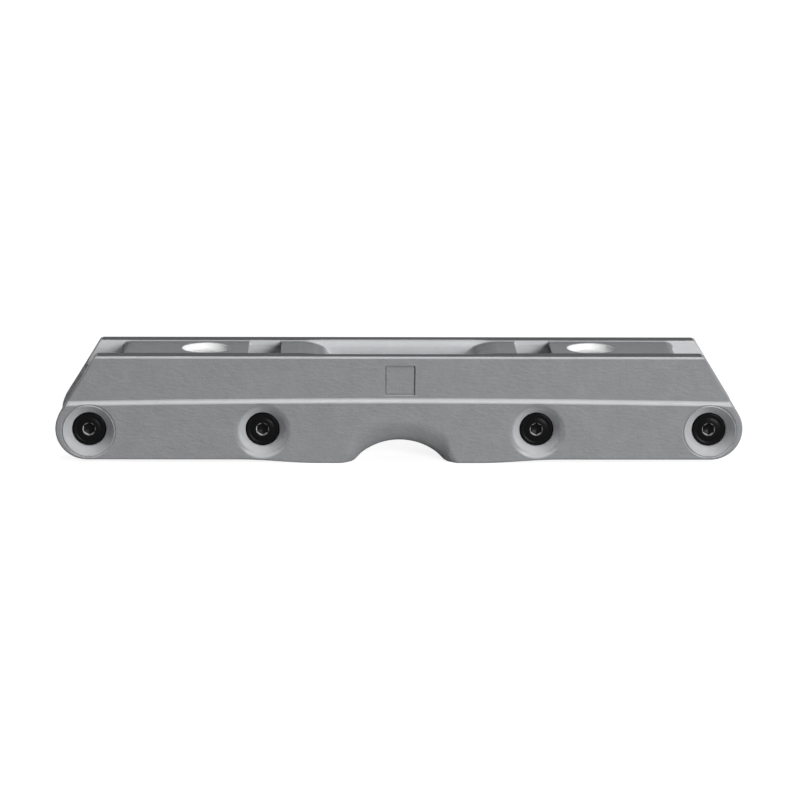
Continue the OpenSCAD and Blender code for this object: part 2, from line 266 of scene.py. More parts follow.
def bosses(ax, ay, z, at_x):
    """Distance to one boss and the rib over it, on the inside of the wall."""
    rho = np.hypot(ax - at_x, z - axle_z)
    boss = edge(rho - boss_r, boss_y - ay, boss_edge_r)
    rib = edge(np.abs(ax - at_x) - rib_t / 2, rail_half_gap - ay, rib_edge_r)
    rib = edge(rib, np.maximum(axle_z - z, z - rail_z - rib_over_rail), rib_edge_r)
    return fillet(boss, rib, rib_foot_r)


# %% [markdown]
# At the top are the two round seats for the bosses under the boot. Below each is an oval pocket
# that keeps its nut from turning. The small plain square sunk into each side is left bare.

# %% Boot seats and the sunken square
nut_low, nut_high = [np.array(c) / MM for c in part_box("front_mount_nut")]
seat_r, seat_round, nut_sunk, nut_web_t = 10.5, 1.6, 0.3, 1.8
seat_z = nut_high[2] + nut_sunk
nut_hole_r = 6.8
nut_half_w, nut_end_r, nut_pocket_round = 6.7, 10.6, 0.3
square_half_w, square_z, square_d, square_corner_r = 6.5, 36.4, 0.55, 0.8
moat_w, moat_d = 0.6, 1.0


def boot_seat(ax, y, z):
    """Distance to the empty space of one seat, and of the hole and pocket for its nut."""
    rho = np.hypot(ax - mount_x, y)
    seat = edge(rho - seat_r, seat_z - z, seat_round)
    oval = np.maximum(rho - nut_end_r, np.abs(ax - mount_x) - nut_half_w)
    nut = edge(oval, z - seat_z + nut_web_t, nut_pocket_round)
    return np.minimum(np.minimum(seat, nut), rho - nut_hole_r)


def square(ax, ay, z):
    """Distance to the sunken square's space, with a fine groove round its floor."""
    wall = edge(ax - square_half_w, np.abs(z - square_z) - square_half_w, square_corner_r)
    panel = waist_half_w + (rim_half_w - waist_half_w) * (z - ledge_z) / (top_z - ledge_z)
    moat = np.maximum(np.abs(wall + moat_w / 2) - moat_w / 2, panel - moat_d - ay)
    return np.minimum(np.maximum(wall, panel - square_d - ay), moat)


# %% [markdown]
# Now the parts of the formula meet. The order matters as it does in the mould: the walls are what
# is left of the block, the bosses grow on them, and the arch flares out into both sides with a
# large radius, while every other edge has a small one.

# %% The whole moulding as one formula
# Radii: outer edges, inside corners and inner edges, and the lips of the openings
flare_r, edge_r, bevel_edge_r = 11, 0.9, 0.25
boss_foot_r, wall_edge_r = 1.2, 0.5
seat_lip_r, square_lip_r, lip_soft_r, lip_crisp_r = 0.25, 0.15, 1.3, 0.2
# The rails' inner edge gets softer along the pocket, from one x to the other
rail_edge_r, rail_soft_r, rail_crisp_x, rail_soft_x = 0.45, 2.4, 44, 33
# The flare comes in as the arch gets nearer than the keel, and fades out up the wall
flare_from, flare_to, flare_none_z, flare_all_z = -5, 4, 30, 20
rim_from_z, rim_to_z = top_z - 6, top_z - 3


def outer_skin(x, y, z):
    """Signed distance to the moulding as if it had no bay, opening, seat or recess.

    The outer edge's radius is edge_r. It grows to flare_r close to the arch, and shrinks to
    rim_round at the rim.
    """
    side_view, arch = outline(np.abs(x), z)
    above_keel = z - keel(np.abs(x))
    near_arch = ramp(arch + above_keel, flare_from, flare_to) * ramp(z, flare_none_z, flare_all_z)
    near_top = ramp(z, rim_from_z, rim_to_z)
    round_r = edge_r + (rim_round - edge_r) * near_top + (flare_r - edge_r) * near_arch
    chamfer = (np.abs(y) - rim_half_w + z - top_z + rim_chamfer) / np.sqrt(2)
    return edge(edge(sides(x, y, z), side_view, round_r), chamfer, bevel_edge_r)


def moulding(x, y, z):
    """Signed distance to the chassis, in millimetres."""
    ax, ay = np.abs(x), np.abs(y)
    block = outer_skin(x, y, z)
    walls = -bays(ax, y, z)
    for at_x in (outer_axle_x, inner_axle_x):
        walls = fillet(walls, bosses(ax, ay, z, at_x), boss_foot_r)
    solid = edge(block, walls, wall_edge_r)
    rail_r = rail_edge_r + rail_soft_r * ramp(ax, rail_crisp_x, rail_soft_x)
    solid = edge(solid, -deck_openings(x, y, z), rail_r)
    solid = edge(solid, -boot_seat(ax, y, z), seat_lip_r)
    solid = edge(solid, -square(ax, ay, z), square_lip_r)
    solid = edge(solid, -recess(ax, ay, z, inner_axle_x, True), lip_soft_r)
    return edge(solid, -recess(ax, ay, z, outer_axle_x, False), lip_crisp_r)


# %% [markdown]
# Light and shade are painted into the nylon's colour: painted light in the hollows, the recesses
# and the seats, and painted shade on the rim's flat top, which is also rougher, while the hollows
# have less grain. That follows from the shape too, so it is a second formula, whose value each
# point of the mesh will carry for the material to read.

# %% Painted light and shade, and the finish of the tool
# How much painted light the recesses and the seats get, against 1 in the hollows
recess_light_level, seat_light_level = 0.6, 1.5
# Depths at which the painted light starts and is full: under the skin, and on the rolled ends
skin_from, skin_to, roll_from, roll_to = 0.1, 0.4, 2, 5
# In a recess it is full at the depth of the lip, crisp or soft, and starts at a share of that depth
crisp_lip, soft_lip, lip_from = 0.3, 1.5, 0.2
# The rim's flat top, which gets painted shade, is this thin skin, and painted light reaches this
# far past its own opening
rim_skin, margin = 0.06, 0.3


def light_and_finish(x, y, z):
    """Where light and shade are painted: -1 on the rim's flat top, for painted shade, 0 outside,
    0.6 in the recesses, 1 in the hollows and 1.5 in the seats, for painted light.

    A point is in a hollow if it lies more than a few tenths of a millimetre under the outer skin,
    and between the rails under the deck's top too. On the rolled ends of the deck it starts lower.
    """
    ax, ay = np.abs(x), np.abs(y)
    under_skin, under_deck = -outer_skin(x, y, z), deck_z - z
    between = ay < rail_half_gap - 0.05
    depth = np.where(between, np.minimum(under_skin, under_deck), under_skin)
    level = ramp(depth, skin_from, skin_to)
    rolled = between & ((ax < pocket_half_l + 1) | (ax > deck_end_x - deck_end_roll_r - 1))
    level = np.where(rolled, np.minimum(level, ramp(under_deck, roll_from, roll_to)), level)
    in_seat = (np.hypot(ax - mount_x, y) < seat_r + 0.5) & (z > seat_z - margin)
    level = np.where(in_seat, seat_light_level * level, level)
    along = np.minimum(np.abs(ax - outer_axle_x), np.abs(ax - inner_axle_x))
    rho = np.hypot(along, z - axle_z)
    full_at = np.where(ax > web_x, crisp_lip, soft_lip)
    recessed = recess_light_level * ramp(under_skin / full_at, lip_from, 1) * (rho < recess_r + 0.1)
    level = np.where(ay > cone_y - margin, recessed, level)
    return np.where((z > top_z - rim_skin) & (level < 0.1), -1, level)


# %% [markdown]
# To turn the formula into a mesh, it is measured on a block of points. Each little cell that the
# surface passes through gets one corner of the mesh, and four neighbouring cells make a face. The
# corner goes where the tangent planes in its cell meet, which keeps sharp edges sharp. The lines
# needn't be evenly spaced, so they are packed closely where there is something small to show.


# %% Grid lines
def grid_lines(start, end, coarse, *fine):
    """Places along one axis. Fine is (from, to, step) for each stretch that needs closer lines.

    Away from such a stretch the step grows by 0.35 of the distance, up to the coarse one.
    """
    probe = np.linspace(start, end, 20001)
    step = np.full(probe.shape, float(coarse))
    for low, high, close in fine:
        away = np.maximum(np.maximum(low - probe, probe - high), 0)
        step = np.minimum(step, close + 0.35 * away)
    count = np.concatenate([[0], np.cumsum(np.diff(probe) / step[1:])])
    return np.interp(np.linspace(0, count[-1], int(count[-1]) + 1), count, probe)


def both(low, high, close):
    """A stretch of close lines, and its mirror image at the other end or side."""
    return [(low, high, close), (-high, -low, close)]


reach = recess_r + 1
close_x = [
    *both(outer_axle_x - reach, outer_axle_x + reach, 0.4),  # outer recesses, with a crisp rim
    *both(inner_axle_x - reach, inner_axle_x + reach, 0.55),  # inner recesses
    *both(14, 42, 0.8), (-14, 14, 0.9),  # arch, flare and the deck's ends at the pocket
    *both(mount_x - 11.5, mount_x + 11.5, 0.65),  # boot seats
    *both(square_half_w - 0.6, square_half_w + 0.6, 0.25),  # upright edges of the square
    *both(web_x - 3, web_x + 3, 0.8),  # cross webs
    *both(113, 131, 0.8),  # outer ends of the deck
    *both(nose[0], half_length, 0.6),  # noses
    (50, 52, 0.4), (-66, -64, 0.4), (-52, -50, 0.4), (65, 67, 0.4)]  # ends of the two slots
close_y = [
    *both(half_width - 2.6, half_width + 0.6, 0.3),  # outside of the walls, with the ledge
    *both(rail_half_gap - 1, half_width, 0.5)]  # walls and rails
close_z = [
    (-1, 3, 0.5), (0, ledge_z, 0.45),  # keel, and all the lower panel
    (ledge_z - 1, ledge_z + 3.5, 0.3),  # ledge
    *[(at - 0.6, at + 0.6, 0.25) for at in (square_z - square_half_w, square_z + square_half_w)],
    (seat_z - 0.5, top_z - 2, 0.45), (top_z - 2, top_z + 0.3, 0.22)]  # seats, deck and rim
grid_x = grid_lines(-half_length - 1.5, half_length + 1.5, 2.2, *close_x)
grid_y = grid_lines(-half_width - 1.2, half_width + 1.2, 1.6, *close_y)
grid_z = grid_lines(-1.2, top_z + 1.2, 1.5, *close_z)
print("grid", len(grid_x), len(grid_y), len(grid_z))

# %% [markdown]
# Where the formula's sign changes between two neighbouring points, the surface cuts the line
# between them. The four cells round that line each get a corner, so each cut gives one face of
# four sides.


# %% Where the surface cuts the grid
def slopes(formula, points, h=0.03):
    """Value of the formula at each point, and the direction in which it grows."""
    x, y, z = points.T
    grown = np.stack([formula(x + h, y, z) - formula(x - h, y, z),
        formula(x, y + h, z) - formula(x, y - h, z),
        formula(x, y, z + h) - formula(x, y, z - h)], 1) / (2 * h)
    return formula(x, y, z), grown


def crossings(field, axis, lines):
    """The faces and the places where the surface cuts the grid's lines along one axis.

    A face is the four cells round the line. It is turned so that it points out of the plastic.
    """
    low = np.take(field, range(field.shape[axis] - 1), axis)
    high = np.take(field, range(1, field.shape[axis]), axis)
    at = np.argwhere((low < 0) != (high < 0))
    start, end = low[tuple(at.T)], high[tuple(at.T)]
    place = np.stack([lines[k][at[:, k]] for k in range(3)], 1)
    place[:, axis] += start / (start - end) * np.diff(lines[axis])[at[:, axis]]
    cells = [len(line) - 1 for line in lines]
    ring = []
    for back_b, back_c in ((1, 1), (0, 1), (0, 0), (1, 0)):
        cell = at.copy()
        cell[:, (axis + 1) % 3] -= back_b
        cell[:, (axis + 2) % 3] -= back_c
        ring.append(np.ravel_multi_index(cell.T, cells))
    ring = np.stack(ring, 1)
    return np.where((start < 0)[:, None], ring, ring[:, ::-1]), place


# %% [markdown]
# A cell knows the surface only from its cuts: a point and a tangent plane at each. The corner is
# put where those planes meet, which is on the edge if an edge runs through the cell. Then the
# corners slide along the formula's slope until the formula gives zero.


# %% From formula to mesh
def meeting_points(cell, place, tilt, low, high):
    """For each cell, the point nearest to all its tangent planes, kept inside the cell.

    Planes with unit normals n through points p pull the point x so that the sum of (n . (x - p))
    squared is least. Directions in which the planes hardly differ leave x at the middle of the p.
    """
    count = len(low)
    hits = np.bincount(cell, minlength=count)[:, None]

    def total(values):
        return np.stack([np.bincount(cell, v, count) for v in values.T], 1)

    mean = total(place) / hits
    pull = total(tilt * (tilt * (place - mean[cell])).sum(1, keepdims=True))
    spread = total((tilt[:, :, None] * tilt[:, None, :]).reshape(-1, 9)).reshape(-1, 3, 3)
    size, axes = np.linalg.eigh(spread)
    differs = size > 0.05 * size[:, -1:]
    give_way = np.where(differs, 1 / np.maximum(size, 1e-9), 0)
    move = np.einsum("nij,nj,nkj,nk->ni", axes, give_way, axes, pull)
    return np.clip(mean + move, low, high)


def surface(formula, lines):
    """Corner points and four-sided faces of the surface where the formula is zero."""
    field = formula(lines[0][:, None, None], lines[1][None, :, None], lines[2][None, None, :])
    cut = [crossings(field, axis, lines) for axis in range(3)]
    rings = np.concatenate([ring for ring, place in cut])
    places = np.concatenate([place for ring, place in cut])
    tilts = slopes(formula, places)[1]
    tilts /= np.linalg.norm(tilts, axis=1, keepdims=True)
    used, index = np.unique(rings, return_inverse=True)
    index = index.reshape(-1, 4)
    at = np.unravel_index(used, [len(line) - 1 for line in lines])
    low = np.stack([lines[k][at[k]] for k in range(3)], 1)
    high = np.stack([lines[k][at[k] + 1] for k in range(3)], 1)
    points = meeting_points(index.ravel(), places.repeat(4, 0), tilts.repeat(4, 0), low, high)
    return points, index


def settle(formula, points, rounds):
    """Slides each point along the slope until it lies on the surface, 0.4 mm in a round at most."""
    for _ in range(rounds):
        value, grown = slopes(formula, points)
        size = np.maximum((grown ** 2).sum(1), 0.25)
        points = points - (np.clip(value, -0.4, 0.4) / size)[:, None] * grown
    return points


# %% [markdown]
# Blender takes the points and faces as they are. The shading normals come from the formula's own
# slope, so that a wide rounding shades smoothly even where the faces on it are large. At a sharp
# edge a face keeps its own direction instead, because one shared normal would smear the edge over
# both faces.


# %% Put a mesh into the scene
def new_piece(name, points, faces, body, slot, *replaced):
    """A finished object: its place is in its mesh, and it rides on a body of the frame."""
    mesh = bpy.data.meshes.new(name)
    mesh.from_pydata(points * MM, [], faces)
    mesh.validate()
    mesh.polygons.foreach_set("use_smooth", np.ones(len(mesh.polygons), bool))
    piece = bpy.data.objects.new(name, mesh)
    bpy.context.scene.collection.objects.link(piece)
    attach(piece, body)
    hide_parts(*replaced)
    return piece


def read(values, field, width, kind=float):
    """One property of every element of a mesh, as an array."""
    found = np.empty(len(values) * width, kind)
    values.foreach_get(field, found)
    return found.reshape(-1, width) if width > 1 else found


def thin_out(piece, triangles):
    """Merges faces where the surface is flat, until that many triangles are left."""
    mesh = piece.data
    now = sum(len(polygon.vertices) - 2 for polygon in mesh.polygons)
    thin = piece.modifiers.new("thin out", "DECIMATE")
    thin.ratio = min(1, triangles / now)
    thin.use_collapse_triangulate = True
    bpy.context.view_layer.objects.active = piece
    bpy.ops.object.modifier_apply(modifier=thin.name)
    return now, len(mesh.polygons)


def shade_by(piece, formula, sharp_deg=24):
    """Slides the corners back onto the formula's surface and takes the shading normals from it."""
    mesh = piece.data
    points = settle(formula, read(mesh.vertices, "co", 3) / MM, 1)
    mesh.vertices.foreach_set("co", (points * MM).ravel())
    mesh.update()
    slope = slopes(formula, points)[1]
    slope /= np.maximum(np.linalg.norm(slope, axis=1, keepdims=True), 1e-9)
    corner_of = read(mesh.loops, "vertex_index", 1, np.int32)
    sides_of = read(mesh.polygons, "loop_total", 1, np.int32)
    flat = read(mesh.polygons, "normal", 3).repeat(sides_of, 0)
    smooth = slope[corner_of]
    agree = (smooth * flat).sum(1, keepdims=True) > np.cos(np.radians(sharp_deg))
    mesh.normals_split_custom_set(np.where(agree, smooth, flat))


def note(piece, name, formula):
    """Keeps a formula's value at each corner point, for the piece's material to read."""
    values = formula(*(read(piece.data.vertices, "co", 3) / MM).T)
    piece.data.attributes.new(name, "FLOAT", "POINT").data.foreach_set("value", values)


# %% [markdown]
# Now the chassis itself. The grid gives more faces than flat walls need, so they are thinned out
# to under 200,000 triangles, and what is left is laid back onto the formula.

# %% Mesh the chassis
points, faces = surface(moulding, (grid_x, grid_y, grid_z))
points = settle(moulding, points, 2)
chassis = new_piece("moulded_chassis", points, faces, "chassis", "chassis_nylon", "frame_body")
print("chassis triangles, before and after", thin_out(chassis, 190000))
shade_by(chassis, moulding)
note(chassis, "light_and_finish", light_and_finish)

# %% [markdown]
# The small metal parts are turned on a lathe or cold-formed, so each is a stack of rings: a
# radius for every angle and a height. A ring whose radius swells six times a turn is a hex
# socket, one clipped at two sides is the nut's oval flange, and rings that climb with the angle
# are a screw thread.

# %% Rings
TURN = np.linspace(0, 2 * np.pi, 96, endpoint=False)


def six_sided(across):
    """Radius of a hexagon of that width across its flats, at each angle."""
    return across / 2 / np.cos((TURN + np.pi / 6) % (np.pi / 3) - np.pi / 6)


def bead(r, w, size, from_deg, to_deg, count=5):
    """Rings round a corner: an arc of that size about the point at radius r and height w."""
    a = np.radians(np.linspace(from_deg, to_deg, count))
    return [(r + size * np.cos(t), w + size * np.sin(t)) for t in a]


def thread(r, depth, pitch, low, high):
    """Rings of a screw thread from low to high, eight to a pitch, fading out at both ends.

    A groove's depth goes up and down once a turn, and climbs by a pitch. That is right-handed on
    an upright axis. It comes out left-handed on the axles, whose angle runs the other way round.
    """
    rings = []
    for w in np.linspace(low, high, int(abs(high - low) / pitch * 8)):
        phase = (w / pitch - TURN / (2 * np.pi)) % 1
        groove = np.abs(2 * phase - 1)
        fade = ramp(abs(w - low), 0, pitch) * ramp(abs(high - w), 0, pitch)
        rings.append((r - depth * fade * groove, w))
    return rings


def turned(name, rings, centre, outward, body, slot, node, loop=False):
    """A piece of rings: each point is at radius r and height w, at its angle of the turn.

    Outward is the +Y or -Y direction of its axis, or 0 for an upright axis. The last ring closes
    onto the first in a loop. Otherwise both ends are closed by a flat face.
    """
    radii = np.array([np.broadcast_to(r, TURN.shape) for r, w in rings])
    heights = np.array([np.broadcast_to(w, TURN.shape) for r, w in rings])
    across, up = radii * np.cos(TURN), radii * np.sin(TURN)
    if outward:
        grid = np.stack([across, heights * outward, up * outward], -1)
    else:
        grid = np.stack([across, up, heights], -1)
    count, steps = len(rings), len(TURN)
    points = grid.reshape(-1, 3) + centre
    bands = np.arange(count if loop else count - 1)
    ring, turn = np.meshgrid(bands, np.arange(steps), indexing="ij")
    after, beside = (ring + 1) % count, (turn + 1) % steps
    quads = np.stack([ring * steps + turn, ring * steps + beside,
        after * steps + beside, after * steps + turn], -1).reshape(-1, 4)
    faces = quads.tolist()
    if not loop:
        faces += [list(range(steps))[::-1], list(range((count - 1) * steps, count * steps))]
    if outward:
        faces = [f[::-1] for f in faces]
    piece = new_piece(name, points, faces, body, slot, node)
    piece.data.set_sharp_from_angle(angle=np.radians(40))
    return piece


# %% [markdown]
# Each axle is two pieces that screw into each other inside the wheel: a bolt from the near side
# and a sleeve from the far side. Both have the same round head, with a turned groove in its face
# and a hex socket. A profile is a list of radius and distance from the head's seat, in the order
# of a lathe's cuts.

# %% Sizes of the axle, and its head
head_r, head_t, hex_w, hex_d = 7.2, 2.6, 5.0, 1.9
axle_r, shoulder_axle_r, relief_r, neck_r, thread_r = 4.0, 5.0, 3.8, 3.5, 2.95
# The bushes' noses meet the wheel's bearings here, and the sleeve ends inside the near bush
bearing_y, relief_w = 12.15, 0.3
sleeve_end, sleeve_bore_l = -(bearing_y + 1), 12.5
neck_l = head_seat_y + sleeve_end - 0.25
bolt_l = neck_l + 12
# Threads: the pitch of M6 and M8, and how deep the ridges are drawn on each piece
m6_pitch, m8_pitch, bolt_ridge, sleeve_ridge, nut_ridge = 1.0, 1.25, 0.5, 0.35, 0.45
groove_r, socket_lip, head_round_r, foot_r = head_r - 1.9, 0.35, 0.6, 0.15
bevel, fit_gap = 0.2, 0.05
sleeve_l = head_seat_y - sleeve_end
print("bolt is", round(head_t + bolt_l, 1), "long, sleeve", round(head_t + sleeve_l, 1))


def head_rings():
    """From the bottom of the hex socket, over the face and down to the seat."""
    socket = six_sided(hex_w)
    mouth = np.maximum(socket, hex_w / 2 + socket_lip) + 0.02
    floor_w = head_t - hex_d
    rings = [(0.3, floor_w - 0.5), (socket * 0.94, floor_w), (socket, floor_w + 0.15)]
    rings += [(socket, head_t - socket_lip), (mouth, head_t)]
    groove = [(-0.6, 0), (-0.4, 0.12), (0, 0.22), (0.4, 0.12), (0.6, 0)]
    rings += [(groove_r + out, head_t - deep) for out, deep in groove]
    rings += bead(head_r - head_round_r, head_t - head_round_r, head_round_r, 90, 0, 6)
    rings += bead(head_r - foot_r, foot_r, foot_r, 0, -90, 3)
    return rings


# %% Axle bolts and sleeves
def bolt(i):
    """Male half: head, short plain neck and M6 thread with a chamfered tip."""
    end = -neck_l
    rings = head_rings() + [(neck_r + foot_r, 0), (neck_r, -foot_r)]
    rings += [(neck_r, end + bevel), (neck_r - bevel, end), (thread_r, end)]
    rings += thread(thread_r, bolt_ridge, m6_pitch, end - 0.3, -bolt_l + 0.9)
    rings += [(thread_r, -bolt_l + 0.7), (thread_r - 0.7, -bolt_l), (0.3, -bolt_l)]
    centre = (axle_x[i - 1], -head_seat_y, axle_z)
    return turned(f"axle_{i}_turned_bolt", rings, centre, -1, f"axle_{i}_bolt", "axle_black",
        f"axle_{i}_bolt")


def sleeve(i):
    """Female half: head, shoulder for the bush, barrel between two reliefs, and threaded bore."""
    step, end = bearing_y - head_seat_y, sleeve_end - head_seat_y
    barrel, tip = step - relief_w, relief_w - bearing_y - head_seat_y
    bore_r, bore_end = thread_r + fit_gap, end + sleeve_bore_l
    rings = head_rings() + [(shoulder_axle_r + foot_r, 0), (shoulder_axle_r, -foot_r)]
    rings += [(shoulder_axle_r, step + bevel), (shoulder_axle_r - bevel, step), (relief_r, step)]
    rings += [(relief_r, barrel + 0.1), (axle_r, barrel - 0.1)]
    rings += [(axle_r, tip + 0.1), (relief_r, tip - 0.1)]
    rings += [(relief_r, end + 0.4), (relief_r - 0.4, end)]
    rings += [(thread_r + 0.3, end), (bore_r, end + 0.3)]
    rings += thread(bore_r, -sleeve_ridge, m6_pitch, end + 0.6, bore_end - 0.5)
    rings += [(bore_r, bore_end), (0.3, bore_end + 1.5)]
    centre = (axle_x[i - 1], head_seat_y, axle_z)
    return turned(f"axle_{i}_turned_sleeve", rings, centre, 1, f"axle_{i}_sleeve", "axle_black",
        f"axle_{i}_sleeve")


bolts = [bolt(i) for i in (1, 2, 3, 4)]
sleeves = [sleeve(i) for i in (1, 2, 3, 4)]
print("bolts and sleeves", len(bolts) + len(sleeves))

# %% [markdown]
# An axle's only bright spot is inside its socket. So the socket's walls are painted a pale grey: a
# painted glint, and wear where the key has rubbed the black off. Their points are marked, as the
# chassis' painted light was.


# %% Painted glint and wear in the sockets
def worn_and_glint(x, y, z):
    """1 on the walls of the hex sockets: a painted glint, and wear where the key rubbed the black
    off.
    """
    rho = np.hypot(np.min([np.abs(x - at_x) for at_x in axle_x], 0), z - axle_z)
    face_y = head_seat_y + head_t
    on_walls = (np.abs(y) > face_y - hex_d + 0.1) & (np.abs(y) < face_y - 0.3)
    return 1.0 * ((rho < hex_w * 0.6) & on_walls)


for piece in bolts + sleeves:
    note(piece, "worn_and_glint", worn_and_glint)

# %% [markdown]
# A pressed steel bush carries each axle half in its wall. The flange sits against the boss
# inside, and the raised nose touches only the bearing's inner ring. A bush is a tube, so its
# rings close into a loop.

# %% Bushes
flange_r, raised_r, raised_h = 7.6, 5.9, 0.4


def bush(i, hand):
    """Pressed bush, from its nose at the bearing outwards to the head's seat."""
    bore = (axle_r if hand == "left" else shoulder_axle_r) + fit_gap
    outward = -1 if hand == "left" else 1
    end, flange_back = head_seat_y - bearing_y, boss_y - bearing_y
    rings = [(bore + bevel, 0), (raised_r - foot_r, 0), (raised_r, foot_r), (raised_r, raised_h)]
    rings += [(flange_r - bevel, raised_h), (flange_r, raised_h + bevel), (flange_r, flange_back)]
    rings += [(bush_r, flange_back), (bush_r, end)]
    rings += [(bore + bevel, end), (bore, end - bevel), (bore, bevel)]
    centre = (axle_x[i - 1], outward * bearing_y, axle_z)
    return turned(f"axle_{i}_{hand}_turned_bush", rings[::-1], centre, outward, "chassis",
        "bush_steel", f"axle_{i}_{hand}_bush", loop=True)


bushes = [bush(i, hand) for i in (1, 2, 3, 4) for hand in ("left", "right")]
print("bushes", len(bushes))

# %% [markdown]
# The nuts under the deck are oval: a flange clipped at its two long sides can't turn in its
# pocket. The barrel above it sits in the deck's hole, and the thread takes the boot's M8 bolt.

# %% Mount nuts
nut_thread_r, nut_collar_r, nut_flange_t, nut_collar_h, nut_gap = 3.4, 5.0, 1.4, 1.4, 0.1


def nut(end, x):
    """Oval nut: collar, flange clipped at its two long sides, locating barrel and M8 thread."""
    low, high = nut_low[2], nut_high[2]
    clipped = (nut_half_w - nut_gap) / np.maximum(np.abs(np.cos(TURN)), 1e-6)
    flange, barrel = np.minimum(nut_end_r - nut_gap, clipped), nut_hole_r - nut_gap
    flange_z, top = low + nut_collar_h, low + nut_collar_h + nut_flange_t
    rings = [(nut_thread_r + 0.4, low), (nut_collar_r - bevel, low), (nut_collar_r, low + bevel)]
    rings += [(nut_collar_r, flange_z), (flange - bevel, flange_z), (flange, flange_z + bevel)]
    rings += [(flange, top - 0.1), (flange - 0.1, top)]
    rings += [(np.minimum(barrel, flange), top), (barrel, top + 0.02)]
    rings += [(barrel, high - bevel), (barrel - bevel, high), (nut_thread_r + 0.4, high)]
    rings += thread(nut_thread_r, -nut_ridge, m8_pitch, high - 0.4, low + 0.4)
    return turned(f"{end}_oval_nut", rings[::-1], (x, 0, 0), 0, "chassis", "nut_zinc",
        f"{end}_mount_nut", loop=True)


nuts = [nut("front", mount_x), nut("rear", -mount_x)]
print("nuts", len(nuts))

# %% [markdown]
# Every material starts from what the real one is. One helper adds a node with its settings and
# links, and colours are written as the sRGB values that a colour picker shows.


# %% Material helpers
def colour(code):
    """sRGB hex to the linear values that Blender's nodes use."""
    v = np.array([int(code[i:i + 2], 16) / 255 for i in (1, 3, 5)])
    return (*np.where(v <= 0.04045, v / 12.92, ((v + 0.055) / 1.055) ** 2.4), 1.0)


def add(tree, kind, links=None, **settings):
    """Adds one node. Settings are properties or input values, links are sockets to plug in."""
    node = tree.nodes.new(kind)
    for key, value in settings.items():
        if hasattr(node, key):
            setattr(node, key, value)
        else:
            node.inputs[key.replace("_", " ")].default_value = value
    for key, socket in (links or {}).items():
        tree.links.new(socket, node.inputs[key])
    return node


def two_tints(tree, mask, low, high, start=0.3, end=0.7):
    """A colour that drifts between two close tints as the mask goes from start to end."""
    drift = add(tree, "ShaderNodeValToRGB", {"Fac": mask})
    for stop, at, code in zip(drift.color_ramp.elements, (start, end), (low, high)):
        stop.position, stop.color = at, colour(code)
    return drift.outputs["Color"]


def new_material(name):
    """A new material, its node tree, its shader and the Object coordinates, which are in metres."""
    material = bpy.data.materials.new(name)
    material.use_nodes = True
    tree = material.node_tree
    shader = tree.nodes["Principled BSDF"]
    place = add(tree, "ShaderNodeTexCoord").outputs["Object"]
    return material, tree, shader, place


def give(pieces, material):
    """Dresses every piece in one material."""
    for piece in pieces:
        piece.data.materials.clear()
        piece.data.materials.append(material)


# %% [markdown]
# Glass-filled nylon, moulded in a spark-eroded tool: a mid grey that is nearly matt. On it, light
# and shade are painted: the flat rim is painted darkest as painted shade, and the hollows are
# painted pale and the boot seats palest as painted light. The mesh carries that painted light and
# shade as an attribute, and three masks are cut from it.

# %% Nylon: masks of the painted light and shade
nylon, tree, shader, place = new_material("glass_filled_nylon")
level = add(tree, "ShaderNodeAttribute", attribute_name="light_and_finish").outputs["Fac"]
# Masks for the painted light in the hollows and the seats, and the painted shade on the rim's top
hollow_light = add(tree, "ShaderNodeMapRange", {"Value": level}).outputs["Result"]
seat = add(tree, "ShaderNodeMapRange", {"Value": level}, From_Min=1, From_Max=seat_light_level)
coarse = add(tree, "ShaderNodeMapRange", {"Value": level}, From_Min=-0.2, From_Max=-0.8)
seat, coarse = seat.outputs["Result"], coarse.outputs["Result"]

# %% [markdown]
# Long edges that lean upwards, such as the ledge and the rim's bevel, are found by the normal's
# direction: it points partly up, and hardly along the frame. There they are glossier, as if rubbed
# by hands, boots and rails, and painted paler as a painted highlight, unless they lie in a hollow.

# %% Nylon: upward edges, glossier and with a painted highlight
normal = add(tree, "ShaderNodeTexCoord").outputs["Normal"]
facing = add(tree, "ShaderNodeSeparateXYZ", {"Vector": normal}).outputs
sideways = add(tree, "ShaderNodeMath", {0: facing["X"]}, operation="ABSOLUTE").outputs[0]
lengthwise = add(tree, "ShaderNodeMapRange", {"Value": sideways}, From_Min=0.4, From_Max=0.2)
leaning = add(tree, "ShaderNodeValToRGB", {"Fac": facing["Z"]})
leaning.color_ramp.elements[-1].color = (0, 0, 0, 1)
for at, value in ((0.1, 0), (0.35, 1), (0.85, 1), (0.97, 0)):
    leaning.color_ramp.elements.new(at).color = (value, value, value, 1)
bare = add(tree, "ShaderNodeMath", {1: hollow_light}, operation="SUBTRACT")
bare.inputs[0].default_value = 1
# Mask of the upward edges, which are painted paler as a painted highlight
edge_highlight = leaning.outputs["Color"]
for mask in (bare.outputs[0], lengthwise.outputs["Result"]):
    edge_highlight = add(tree, "ShaderNodeMath", {0: edge_highlight, 1: mask}, operation="MULTIPLY").outputs[0]

# %% [markdown]
# The glass fibres near the skin give it cloudy flow marks of a few millimetres, so every shade is
# two close tints that drift with the same cloud. Each mask then lays its shade over the ones
# before it.

# %% Nylon: colour
flow_size = 6.25
flow = add(tree, "ShaderNodeTexNoise", {"Vector": place},
    Scale=1000 / flow_size, Detail=4, Roughness=0.6)
cloud = flow.outputs["Fac"]
shade = two_tints(tree, cloud, "#8a8b8d", "#919294")
